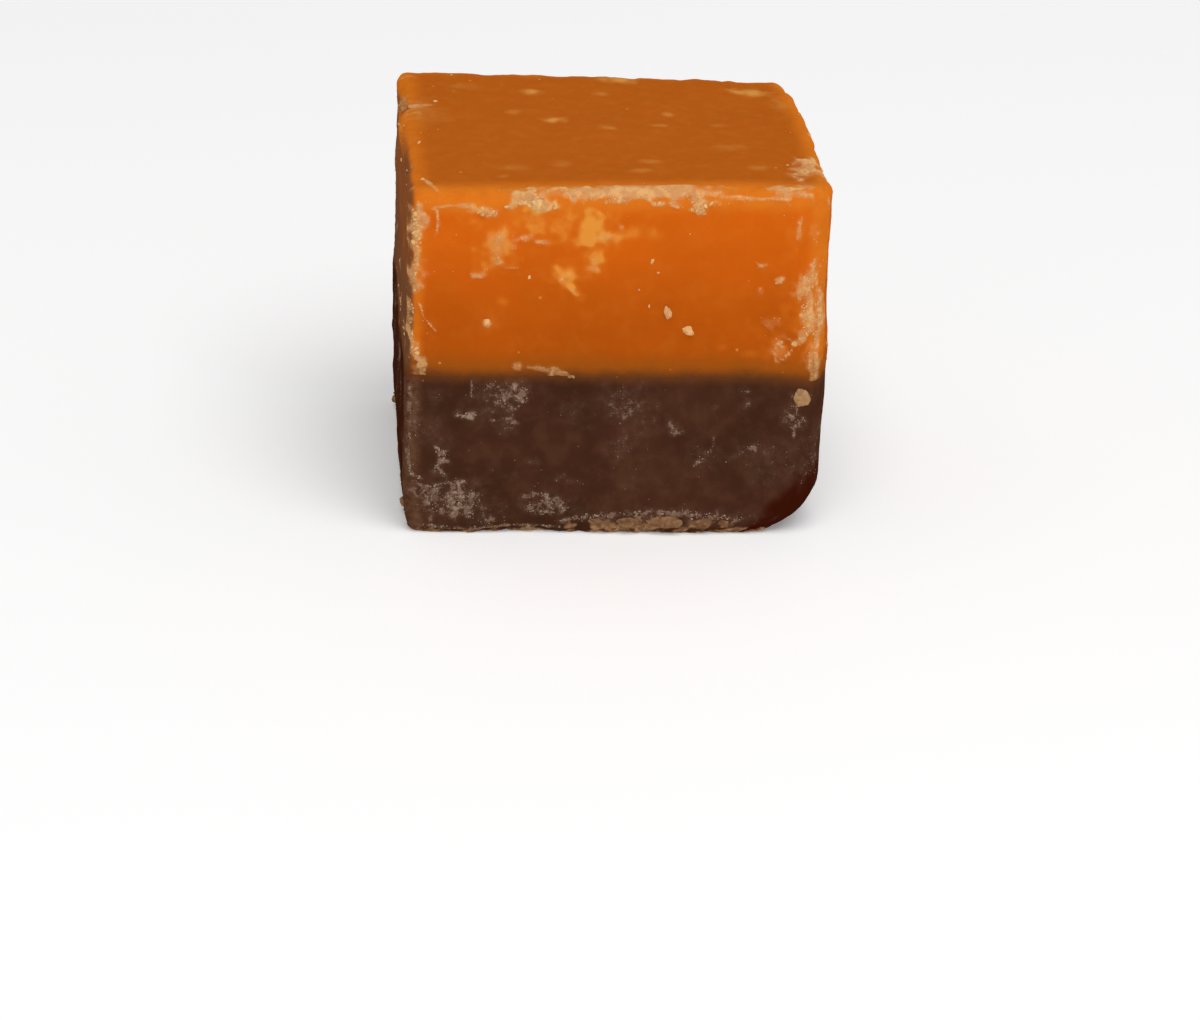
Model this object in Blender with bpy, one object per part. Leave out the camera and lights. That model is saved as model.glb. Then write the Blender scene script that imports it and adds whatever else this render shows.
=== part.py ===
"""A hand-cut cube of two-layer fudge, with an orange layer on top of a chocolate layer.

Metres, +Z up. The origin is the middle of the flat base, and the front face looks towards -Y.
"""

import math
import random

import bmesh
import bpy
from mathutils import Matrix, Vector, noise

# The block before the knife's waviness is added.
WIDTH = 0.0280
DEPTH = 0.0245
HEIGHT = 0.0243
SEAM_HEIGHT = 0.0113
LAYER_GAP = 0.0003
EDGE_ROUND = 0.0009
EDGE_SEGMENTS = 2
GRID = 0.0016
SNAP = 0.00005

# How the cut differs from a true block.
BACK_SKEW = 0.0008
RIGHT_TAPER = 0.0011
BACK_RIGHT_PULL = 0.0006
BACK_RIGHT_REACH = 0.0035
BACK_RIGHT_WIDTH = 0.0045
BACK_RIGHT_POWER = 1.2
FRONT_LEFT_SINK = 0.0004
HEEL_REACH = 0.0046
HEEL_HEIGHT = 0.0038
HEEL_POWER = 2.0
HEEL_LEFT_AT_BACK = 0.45
TOE_REACH = 0.0003
TOE_HEIGHT = 0.0032
SOFT_CORNER_RADIUS = 0.0026
SOFT_CORNER_PULL = 0.0007
SEAM_DROP = 0.0004
SEAM_DROP_START = 0.0100
SEAM_SPREAD = 0.0030

# Relief of the cut faces: (height, length of one wave).
SLOW_WAVE = (0.00022, 0.0075)
KNIFE_WAVE = (0.00012, 0.0028)
RIM_CRUMBLE = (0.00022, 0.0016)
FACE_POWER = 7
RIM_POWER = 14

# Crumbs that cling to the rims, drawn by one seeded rule.
SEED = 21
TOP_RIM_CRUMBS = 18
UPRIGHT_CRUMBS = 3
BASE_RIM_CRUMBS = 26
RIM_CRUMB_SIZE = (0.0003, 0.0006)
BASE_CRUMB_SIZE = (0.0004, 0.0007)
RIM_CRUMB_SINK = 0.0005
FLAKE_SINK = 0.6
CRUMB_ROUGHNESS = 0.16

# Single flakes and crumbs on the front face: place along X, place along Z, half sizes in X, Y and Z.
FRONT_ORANGE_FLAKES = (
    (-0.0059, 0.0236, 0.0010, 0.0005, 0.0006),
    (-0.0043, 0.0235, 0.0006, 0.0004, 0.0005),
    (0.0008, 0.0239, 0.0026, 0.0004, 0.0005),
    (0.0038, 0.0236, 0.0009, 0.0004, 0.0006),
    (0.0050, 0.0231, 0.0007, 0.0004, 0.0007),
    (0.0033, 0.0157, 0.0003, 0.0003, 0.0005),
    (0.0047, 0.0145, 0.0006, 0.0003, 0.0003),
    (-0.0066, 0.0122, 0.0010, 0.0004, 0.0004),
    (-0.0040, 0.0121, 0.0014, 0.0003, 0.0003),
    (-0.0130, 0.0124, 0.0008, 0.0005, 0.0006),
    (-0.0132, 0.0155, 0.0007, 0.0005, 0.0010),
    (-0.0134, 0.0186, 0.0005, 0.0005, 0.0011),
    (-0.0135, 0.0212, 0.0006, 0.0005, 0.0012),
    (0.0131, 0.0158, 0.0006, 0.0004, 0.0016),
    (0.0122, 0.0137, 0.0009, 0.0004, 0.0008),
)
FRONT_CHOCOLATE_FLAKES = (
    (0.0129, 0.0099, 0.0006, 0.0003, 0.0006),
    (-0.0129, 0.0078, 0.0006, 0.0003, 0.0014),
    (-0.0042, 0.0018, 0.0013, 0.0003, 0.0006),
    (-0.0112, 0.0023, 0.0015, 0.0003, 0.0006),
)
# The same on the top face: place along X, place along Y, half sizes in X, Y and Z.
TOP_FLAKES = (
    (-0.0051, 0.0088, 0.0005, 0.0007, 0.0002),
    (-0.0038, 0.0031, 0.0008, 0.0008, 0.0002),
    (0.0011, 0.0112, 0.0009, 0.0006, 0.0003),
    (0.0002, 0.0008, 0.0005, 0.0007, 0.0002),
    (0.0106, 0.0098, 0.0011, 0.0008, 0.0003),
    (0.0132, 0.0070, 0.0005, 0.0008, 0.0003),
    (-0.0128, 0.0043, 0.0010, 0.0012, 0.0003),
)

ORANGE_COLOUR = (0.60, 0.110, 0.008, 1.0)
CHOCOLATE_COLOUR = (0.062, 0.024, 0.012, 1.0)
ORANGE_ROUGHNESS = 0.50
CHOCOLATE_ROUGHNESS = 0.48


def clear_scene():
    for old in list(bpy.data.objects):
        bpy.data.objects.remove(old)


def fudge_material(name, colour, roughness):
    made = bpy.data.materials.new(name)
    made.use_nodes = True
    shader = made.node_tree.nodes["Principled BSDF"]
    shader.inputs["Base Color"].default_value = colour
    shader.inputs["Roughness"].default_value = roughness
    shader.inputs["Metallic"].default_value = 0.0
    return made


def ease(share):
    share = min(max(share, 0.0), 1.0)
    return share * share * (3 - 2 * share)


def wave(point, relief, layer):
    height, length = relief
    return height * noise.noise(point / length + Vector((layer, 7.3, 1.9)))


def outward(u, v, w):
    """The way out of the block, which fades to nothing inside it."""
    way = Vector(math.copysign(abs(side) ** FACE_POWER, side) for side in (u, v, w))
    return way / max(1.0, way.length)


def knife_relief(point, u, v, w):
    """How far the surface stands out of the true block here. Rims crumble more than faces."""
    near_rim = max(abs(u * v), abs(v * w), abs(u * w)) ** RIM_POWER
    faces = wave(point, SLOW_WAVE, 0.0) + wave(point, KNIFE_WAVE, 3.1)
    return faces + near_rim * wave(point, RIM_CRUMBLE, 5.7)


def heel_inset(z):
    """How far the rounded lower right corner draws in at this height."""
    rise = min(max(1 - z / HEEL_HEIGHT, 0.0), 1.0)
    return HEEL_REACH * (1 - (1 - rise**HEEL_POWER) ** (1 / HEEL_POWER))


def hand_cut(point):
    """Moves a point of the true block to where the hand-cut one has it."""
    x, y, z = point
    u, v, w = 2 * x / WIDTH, 2 * y / DEPTH, 2 * z / HEIGHT - 1
    moved = point + knife_relief(point, u, v, w) * outward(u, v, w)
    if z <= 0:
        moved.z = 0.0
    moved.y -= BACK_SKEW * u * max(v, 0.0)
    from_back = max(1 - (DEPTH / 2 - y) / BACK_RIGHT_REACH, 0.0)
    near_right = ease(1 - (WIDTH / 2 - x) / BACK_RIGHT_WIDTH)
    moved.x -= RIGHT_TAPER * (1 + v) / 2 * max(u, 0.0)
    moved.x -= BACK_RIGHT_PULL * from_back**BACK_RIGHT_POWER * near_right
    moved.z -= FRONT_LEFT_SINK * ease((1 - u) / 2) * ease((1 - v) / 2) * ease(w)
    to_front = (1 - v) / 2
    heel_share = HEEL_LEFT_AT_BACK + (1 - HEEL_LEFT_AT_BACK) * to_front
    moved.x -= heel_inset(z) * heel_share * max(u, 0.0)
    toe = ease(1 - z / TOE_HEIGHT) * TOE_REACH
    moved.x += toe * max(-u, 0.0)
    moved.y += toe * max(-v, 0.0) - 0.5 * toe * max(v, 0.0)
    from_right = max(1 - (WIDTH / 2 - x) / SOFT_CORNER_RADIUS, 0.0)
    from_front = max(1 - (DEPTH / 2 + y) / SOFT_CORNER_RADIUS, 0.0)
    pull = SOFT_CORNER_PULL * from_right * from_front
    moved.x -= pull
    moved.y += pull
    at_seam = math.exp(-(((z - SEAM_HEIGHT) / SEAM_SPREAD) ** 2))
    moved.z -= at_seam * SEAM_DROP * ease((x - SEAM_DROP_START) / (WIDTH / 2 - SEAM_DROP_START))
    return moved


def cut_across(form, middle, normal, drop_above=False):
    return bmesh.ops.bisect_plane(
        form,
        geom=form.verts[:] + form.edges[:] + form.faces[:],
        dist=SNAP,
        plane_co=middle,
        plane_no=normal,
        clear_outer=drop_above,
    )


def cut_to_grid(form):
    """Even cuts across the whole form, so that its faces can follow the waviness, closer at the heel."""
    runs = (
        (0, WIDTH, -WIDTH / 2, GRID),
        (1, DEPTH, -DEPTH / 2, GRID),
        (2, HEEL_HEIGHT, 0.0, GRID / 2),
        (2, HEIGHT - HEEL_HEIGHT, HEEL_HEIGHT, GRID),
    )
    cut_across(form, Vector((0, 0, HEEL_HEIGHT)), Vector((0, 0, 1)))
    for axis, length, start, spacing in runs:
        count = round(length / spacing)
        for step in range(1, count):
            middle, normal = Vector(), Vector()
            middle[axis] = start + length * step / count
            normal[axis] = 1.0
            cut_across(form, middle, normal)


def block_layer(low, high):
    """The slice of the round-edged block from low to high, as a closed grid."""
    form = bmesh.new()
    bmesh.ops.create_cube(form, size=1.0)
    bmesh.ops.scale(form, vec=(WIDTH, DEPTH, HEIGHT), verts=form.verts)
    bmesh.ops.translate(form, vec=(0, 0, HEIGHT / 2), verts=form.verts)
    bmesh.ops.bevel(
        form,
        geom=form.edges[:],
        offset=EDGE_ROUND,
        segments=EDGE_SEGMENTS,
        profile=0.5,
        affect="EDGES",
        material=-1,
    )
    for height, way in ((low, -1.0), (high, 1.0)):
        if 0 < height < HEIGHT:
            cut = cut_across(form, Vector((0, 0, height)), Vector((0, 0, way)), drop_above=True)
            rim = [part for part in cut["geom_cut"] if isinstance(part, bmesh.types.BMEdge)]
            bmesh.ops.edgeloop_fill(form, edges=rim)
    cut_to_grid(form)
    for corner in form.verts:
        corner.co = hand_cut(corner.co)
    bmesh.ops.triangulate(form, faces=form.faces[:])
    bmesh.ops.recalc_face_normals(form, faces=form.faces[:])
    return form


def object_from(form, name, material, collection):
    mesh = bpy.data.meshes.new(name)
    form.to_mesh(mesh)
    form.free()
    made = bpy.data.objects.new(name, mesh)
    made.data.materials.append(material)
    collection.objects.link(made)
    return made


def crumb(place, half_sizes, draw, collection, material, detail=1):
    """A rough lump, sunk by about half into what it clings to."""
    form = bmesh.new()
    bmesh.ops.create_icosphere(form, subdivisions=detail, radius=1.0)
    for corner in form.verts:
        corner.co *= 1 + CRUMB_ROUGHNESS * draw.uniform(-1, 1)
    bmesh.ops.scale(form, vec=half_sizes, verts=form.verts)
    bmesh.ops.translate(form, vec=place, verts=form.verts)
    object_from(form, "crumb", material, collection)


def rim_point(share, z):
    """A point on the upright walls of the true block, share of the way round from the front left."""
    along = share * 4
    side, part = int(along) % 4, along - int(along)
    half_x, half_y = WIDTH / 2 - RIM_CRUMB_SINK, DEPTH / 2 - RIM_CRUMB_SINK
    spots = (
        (-half_x + 2 * half_x * part, -half_y),
        (half_x, -half_y + 2 * half_y * part),
        (half_x - 2 * half_x * part, half_y),
        (-half_x, half_y - 2 * half_y * part),
    )
    return Vector((*spots[side], z))


def rim_crumbs(draw, collection, material):
    """Crumbs along the top rim and the four upright edges of the orange layer."""
    rim_z = HEIGHT - RIM_CRUMB_SINK
    for index in range(TOP_RIM_CRUMBS):
        place = hand_cut(rim_point((index + draw.random()) / TOP_RIM_CRUMBS, rim_z))
        size = draw.uniform(*RIM_CRUMB_SIZE)
        crumb(place, (size * 1.3, size, size * 0.6), draw, collection, material)
    lowest, highest = SEAM_HEIGHT + 0.0015, HEIGHT - 0.0025
    for edge in range(4):
        for index in range(UPRIGHT_CRUMBS):
            z = lowest + (highest - lowest) * (index + draw.random()) / UPRIGHT_CRUMBS
            place = hand_cut(rim_point(edge / 4, z))
            size = draw.uniform(*RIM_CRUMB_SIZE)
            crumb(place, (size * 0.7, size * 0.7, size * 1.3), draw, collection, material)


def base_crumbs(draw, collection, material):
    """The crusty lip along the bottom edges of the chocolate layer."""
    for index in range(BASE_RIM_CRUMBS):
        size = draw.uniform(*BASE_CRUMB_SIZE)
        height = size * 0.9 + draw.uniform(0.0004, 0.0010)
        place = hand_cut(rim_point((index + draw.random()) / BASE_RIM_CRUMBS, height))
        crumb(place, (size * 1.3, size * 1.3, size * 0.8), draw, collection, material)


def front_flakes(flakes, draw, collection, material):
    for x, z, half_x, half_y, half_z in flakes:
        place = hand_cut(Vector((x, FLAKE_SINK * half_y - DEPTH / 2, z)))
        crumb(place, (half_x, half_y, half_z), draw, collection, material, detail=2)


def top_flakes(flakes, draw, collection, material):
    for x, y, half_x, half_y, half_z in flakes:
        place = hand_cut(Vector((x, y, HEIGHT - FLAKE_SINK * half_z)))
        crumb(place, (half_x, half_y, half_z), draw, collection, material, detail=2)


def fuse(body, crumbs):
    """Joins the crumbs to the layer as one solid, and removes their own objects."""
    joined = body.modifiers.new("crumbs", "BOOLEAN")
    joined.operation = "UNION"
    joined.operand_type = "COLLECTION"
    joined.collection = crumbs
    joined.solver = "EXACT"
    graph = bpy.context.evaluated_depsgraph_get()
    whole = bpy.data.meshes.new_from_object(body.evaluated_get(graph))
    body.modifiers.clear()
    body.data = whole
    for done in list(crumbs.objects):
        bpy.data.objects.remove(done)
    bpy.data.collections.remove(crumbs)
    body.data.shade_smooth()
    body.data.set_sharp_from_angle(angle=math.radians(50))


def centre_on_base(pieces):
    """Brings the middle of the whole block's outline over the origin."""
    spots = [corner.co for piece in pieces for corner in piece.data.vertices]
    middle = [(min(spot[i] for spot in spots) + max(spot[i] for spot in spots)) / 2 for i in (0, 1)]
    for piece in pieces:
        piece.data.transform(Matrix.Translation((-middle[0], -middle[1], 0)))


def new_collection(name):
    made = bpy.data.collections.new(name)
    bpy.context.scene.collection.children.link(made)
    return made


def build():
    clear_scene()
    draw = random.Random(SEED)
    scene_root = bpy.context.scene.collection
    orange = fudge_material("orange_fudge", ORANGE_COLOUR, ORANGE_ROUGHNESS)
    chocolate = fudge_material("chocolate_fudge", CHOCOLATE_COLOUR, CHOCOLATE_ROUGHNESS)
    upper = block_layer(SEAM_HEIGHT + LAYER_GAP / 2, HEIGHT)
    upper = object_from(upper, "orange_layer", orange, scene_root)
    lower = block_layer(0.0, SEAM_HEIGHT - LAYER_GAP / 2)
    lower = object_from(lower, "chocolate_layer", chocolate, scene_root)

    on_orange = new_collection("orange crumbs")
    rim_crumbs(draw, on_orange, orange)
    front_flakes(FRONT_ORANGE_FLAKES, draw, on_orange, orange)
    top_flakes(TOP_FLAKES, draw, on_orange, orange)
    fuse(upper, on_orange)

    on_chocolate = new_collection("chocolate crumbs")
    base_crumbs(draw, on_chocolate, chocolate)
    front_flakes(FRONT_CHOCOLATE_FLAKES, draw, on_chocolate, chocolate)
    fuse(lower, on_chocolate)

    centre_on_base([upper, lower])


build()
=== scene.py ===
"""The looks of one hand-cut cube of fudge, orange over chocolate, built around its solid frame."""

import math

import bmesh
import bpy
import numpy as np
from bpy.props import FloatProperty, FloatVectorProperty, IntProperty, PointerProperty
from mathutils import Matrix, Vector, noise
from mathutils.bvhtree import BVHTree


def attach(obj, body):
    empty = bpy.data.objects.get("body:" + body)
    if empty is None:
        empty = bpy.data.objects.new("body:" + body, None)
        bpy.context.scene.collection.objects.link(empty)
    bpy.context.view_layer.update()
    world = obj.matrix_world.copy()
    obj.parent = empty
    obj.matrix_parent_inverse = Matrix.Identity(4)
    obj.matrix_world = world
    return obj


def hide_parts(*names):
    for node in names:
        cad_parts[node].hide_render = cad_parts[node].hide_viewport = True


bl_info = {
    "name": "Two-layer fudge",
    "version": (1, 0, 0),
    "blender": (4, 5, 0),
    "location": "3D View > Sidebar > Fudge",
    "description": "Dresses a cube of orange and chocolate fudge with its crumbs, crust and sugar bloom",
    "category": "Object",
}

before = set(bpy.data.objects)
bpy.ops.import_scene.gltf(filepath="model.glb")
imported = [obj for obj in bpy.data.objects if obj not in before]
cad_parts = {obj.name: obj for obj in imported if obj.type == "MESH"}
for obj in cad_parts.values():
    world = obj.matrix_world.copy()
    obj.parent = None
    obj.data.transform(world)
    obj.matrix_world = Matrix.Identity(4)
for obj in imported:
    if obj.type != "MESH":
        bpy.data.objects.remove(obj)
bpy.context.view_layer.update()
BODY = "root"
MM = 0.001
# Brings the middle of the cut block's outline over the origin, as in the solids.
TO_ORIGIN = np.array((0.00009, -0.00032, 0.0))

# How the cut differs from a true block, as in the solids.
BACK_SKEW = 0.0008
RIGHT_TAPER = 0.0011
BACK_RIGHT_PULL = 0.0006
BACK_RIGHT_REACH = 0.0035
BACK_RIGHT_WIDTH = 0.0045
BACK_RIGHT_POWER = 1.2
FRONT_LEFT_SINK = 0.0004
HEEL_REACH = 0.0046
HEEL_HEIGHT = 0.0038
HEEL_POWER = 2.0
HEEL_LEFT_AT_BACK = 0.45
TOE_REACH = 0.0003
TOE_HEIGHT = 0.0032
SOFT_CORNER_RADIUS = 0.0026
SOFT_CORNER_PULL = 0.0007
SEAM_DROP = 0.0004
SEAM_DROP_START = 0.01
SEAM_SPREAD = 0.003
FACE_POWER = 7
RIM_POWER = 14

# Relief as (height, length of one wave, layer of the noise). The first three are those of the solids.
# Lengths are in metres, and so are heights below 0.001. Larger heights are shares of a cover.
SLOW_WAVE = (0.00022, 0.0075, 0.0)
KNIFE_WAVE = (0.00012, 0.0028, 3.1)
RIM_CRUMBLE = (0.00022, 0.0016, 5.7)
RIM_CHIPS = (0.00012, 0.0006, 8.3)
SKIN_WAVE = (0.000035, 0.0011, 11.9)
SKIN_GRAIN = (0.000014, 0.0004, 14.2)
RIM_BITES = (0.0006, 0.0021, 41.0)
SHALLOWEST_BITE = 0.00016
GRIT = (1.0, 0.00035, 44.0)
RAGGED_WAVES = ((0.7, 0.0012, 21.0), (0.7, 0.0005, 25.0))
ROUGH_WAVE = (1.0, 0.0022, 31.0)
LIP_GAPS = (1.6, 0.004, 51.0)
NOISE_SHIFT = (7.3, 1.9)
CRUST_LIFT = 0.0001
PALE_LIFT = 0.00003
BLOOM_LIFT = 0.00004
LIP_LIFT = 0.00016
# How far the left side leans out at its back.
LEFT_FLARE = 0.00022

COARSE_CUT = 0.0014
BEVEL_SEGMENTS = 3
SNAP = 0.00002
SEAM_TUCK = (0.0006, 0.00015)

# Marks on the faces, in millimetres. Front and back marks are placed along X and Z, top marks along X and Y,
# side marks along Y and Z. Each is: place across, place up, half width, half height, strength, and any turn
# in degrees.
FRONT_PALE = (
    (-4.6, 22.3, 4.6, 1.5, 0.62), (-5.6, 22, 2.2, 0.8, 0.72, 5), (-5.7, 23.5, 1.4, 0.8, 1.1),
    (-7.2, 23.5, 1, 0.5, 0.6), (-9.1, 23.2, 1, 0.5, 0.8, -10), (-2.1, 22, 0.9, 1.3, 1.3),
    (-2.3, 21.4, 1.4, 0.8, 1.2), (-1.6, 21.1, 1.6, 0.5, 0.85, -5), (-3.7, 21.3, 1.1, 0.6, 0.7, 10),
    (-5.2, 22.2, 1.4, 0.6, 0.55), (0.4, 21.6, 1.4, 0.6, 0.55), (1.9, 21.6, 0.8, 0.4, 0.55, -35),
    (-7.7, 21.9, 1.2, 0.8, 0.5), (-8.2, 20.6, 1.4, 1.6, 0.85, -15), (-8.6, 19.3, 1, 0.6, 0.7, 30),
    (-9.1, 18.7, 0.6, 0.3, 0.7, 20), (-1.7, 19.7, 0.8, 1, 0.8), (-2, 18.9, 0.7, 0.45, 0.9),
    (-3.9, 18.4, 0.9, 1, 0.9, 30), (-3.2, 17.5, 0.9, 0.4, 1.1, -38), (-7.6, 16.6, 0.4, 0.3, 0.45),
    (-8.6, 15, 0.6, 0.6, 0.3), (6.7, 13.5, 0.5, 0.3, 0.35), (8.8, 13.1, 0.6, 0.3, 0.3),
    (10.5, 13.4, 1.05, 0.95, 0.45), (12.2, 16, 1.3, 2.6, 0.45), (11.8, 21.9, 1.2, 1, 0.4, 20),
)
FRONT_CRUST = (
    (-9.2, 18.5, 0.6, 0.3, 0.8, 20), (-8.2, 20.9, 0.6, 0.9, 0.5, -15), (-8.1, 19.7, 0.5, 0.7, 0.5),
    (-7.5, 19.1, 0.7, 0.15, 0.5), (-6.5, 21.3, 0.8, 0.45, 0.65, 10), (-5.4, 21, 0.5, 0.25, 0.6, -15),
    (-7, 20.6, 0.35, 0.25, 0.55), (-4.2, 20.3, 0.45, 0.22, 0.7), (-1.9, 19.1, 0.65, 0.45, 0.55, 20),
    (-3.9, 18.1, 0.7, 0.6, 0.45, 30), (-3.2, 17.4, 0.7, 0.22, 0.6, -38), (-0.1, 22, 0.35, 0.3, 0.5),
    (-1.2, 21.2, 0.7, 0.22, 0.45, -5), (-8.7, 15.1, 0.35, 0.3, 0.75), (9.2, 19.3, 0.45, 0.16, 0.8, 20),
    (10.5, 18.2, 0.4, 0.3, 0.6, 30), (9.2, 17.5, 0.45, 0.35, 0.4), (9.9, 15.2, 0.6, 0.4, 0.4),
    (11.5, 21.8, 0.2, 0.9, 0.6, 8), (12.2, 17.6, 1, 1.2, 0.68, 10), (13.1, 18.4, 0.6, 0.9, 0.6),
    (13.4, 16.2, 0.5, 1.6, 0.65), (13.8, 15, 0.5, 2.6, 0.6), (12.9, 21.3, 0.8, 1.5, 0.33),
    (12.8, 15.9, 0.95, 1.4, 0.68), (11.9, 14.2, 1.4, 0.6, 0.75, 15), (13.1, 13, 0.8, 1.2, 0.6),
    (10.5, 13.4, 0.9, 0.85, 0.4), (-13.5, 21.6, 0.7, 1.9, 0.85), (-13.4, 18.9, 0.55, 1.5, 0.65),
    (-13.8, 15.6, 0.3, 1.6, 0.45), (-13, 12.2, 0.65, 1, 0.9), (-6.6, 12, 0.4, 0.25, 0.6),
    (-5.5, 11.9, 0.9, 0.15, 0.5), (-4, 11.65, 0.8, 0.3, 0.7, 15), (1.2, 24.15, 5.2, 0.46, 1.3),
    (-6.3, 23.9, 0.75, 0.4, 1.9, -10), (-6, 23.85, 0.5, 0.5, 2.6), (-5.6, 23.6, 0.9, 0.45, 1.4, -10),
    (1, 24.2, 5.3, 0.24, 1.7), (-3.9, 24.1, 2.4, 0.22, 0.6), (5, 23.4, 1, 0.5, 0.85),
    (-8.6, 23, 0.9, 0.32, 0.85, -15), (-10.9, 23.5, 1.5, 0.15, 0.5), (11.3, 24.1, 1.4, 0.3, 0.65),
)
TOP_PALE = (
    (-5.1, 8.1, 0.65, 0.55, 1), (-9.5, 9, 1, 0.6, 0.24), (-3.8, 2.5, 0.8, 0.55, 0.95),
    (-6.5, 3.7, 0.5, 0.5, 0.35), (-0.3, 7.8, 0.5, 0.35, 0.55), (-0.2, 0.4, 0.8, 0.35, 0.5, -30),
    (1.2, 10.9, 1.3, 0.75, 0.85), (4.2, 3.6, 0.45, 0.35, 0.55), (3.4, 1.3, 0.6, 0.35, 0.5),
    (10.6, 9, 1.25, 0.85, 1.2), (12.6, 6.5, 0.6, 1.5, 0.35), (7.5, 1.4, 0.5, 0.4, 0.28),
    (7.8, -3.2, 1, 0.6, 0.24), (9.4, -7.3, 0.7, 0.4, 0.32), (2.1, -6, 0.6, 0.45, 0.4),
    (1.4, -7.8, 0.8, 0.4, 0.34, 20), (-3.8, -6.3, 0.6, 0.5, 0.24), (-6.9, -6.8, 1, 0.5, 0.28),
    (-7.7, -8.5, 0.5, 0.4, 0.28), (-12.3, 3.2, 1.4, 2.6, 0.21, 10),
)
TOP_CRUST = (
    (-12.7, 4.4, 1.1, 0.9, 0.45, 20), (-10.3, 7.7, 0.2, 0.6, 0.4), (12.6, -7.2, 1.1, 2.1, 1, -12),
    (11.9, -9.3, 0.7, 0.9, 0.6), (10.9, -11.3, 1.9, 0.7, 0.9, -6), (-12.6, -10, 0.2, 1.8, 0.8, 20),
)
FRONT_BLOOM = (
    (-7.6, 9.8, 1.6, 1.5, 0.7), (-6.4, 10.1, 0.8, 0.9, 1), (-7.5, 7.9, 0.9, 0.8, 0.7),
    (-9.9, 8.6, 0.8, 0.35, 1.3, 10), (-9.6, 10.6, 0.2, 0.9, 0.6, 5), (-12, 9.8, 0.5, 0.4, 0.4),
    (0.7, 9, 1.7, 1.7, 0.65), (1.5, 10.6, 0.7, 0.5, 0.45), (0.3, 6.4, 0.9, 0.8, 0.5),
    (2.4, 8.3, 0.6, 0.4, 0.7, -20), (3.7, 7.8, 0.7, 0.5, 0.8, -30), (6.5, 9.2, 0.3, 0.25, 1),
    (8.6, 9.4, 0.3, 0.5, 1), (8.5, 10.4, 0.5, 0.4, 0.7), (-2.8, 9.1, 1, 0.8, 0.35),
    (-11.5, 5.7, 0.6, 0.7, 1), (-11.6, 4.6, 0.6, 0.5, 0.7), (-11.9, 7.2, 1.1, 1.4, 0.35, 20),
    (-10.2, 3.8, 1.6, 0.4, 0.7), (-10.9, 2.3, 2.5, 1.5, 0.95), (-8.8, 1.3, 1.6, 0.7, 0.7),
    (-4.4, 2.3, 1.7, 0.9, 0.85), (-3.4, 4, 1.3, 0.35, 0.5, -10), (-5.2, 5.3, 0.6, 0.3, 0.4),
    (-6.6, 4.4, 1.3, 0.2, 0.35, 12), (6, 5.7, 1.3, 1.2, 0.3), (9.2, 6.2, 1.4, 0.7, 0.6),
    (8.95, 6.3, 0.42, 0.38, 0.88), (12.2, 8.4, 1.1, 1.6, 0.85), (-13.3, 8.2, 0.45, 2.6, 0.45),
    (10.9, 5.3, 2.5, 2, 0.3), (1, 3.8, 1.2, 0.9, 0.25), (3, 1.3, 7, 0.6, 0.45),
)

FRONT_LIP = (
    (2.8, 0.65, 5.6, 0.45, 0.8), (1.2, 0.95, 1, 0.5, 1.2), (3.8, 0.95, 1.4, 0.55, 1.2),
    (-1, 0.75, 1.1, 0.45, 0.9, 5), (-2.9, 0.55, 0.9, 0.4, 0.8, 10), (6.5, 0.85, 1.6, 0.45, 0.85),
    (8.8, 0.65, 1, 0.32, 0.75, -5), (-7.5, 0.5, 1.4, 0.3, 0.7), (-10.6, 0.4, 2.2, 0.18, 0.6),
)

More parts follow.
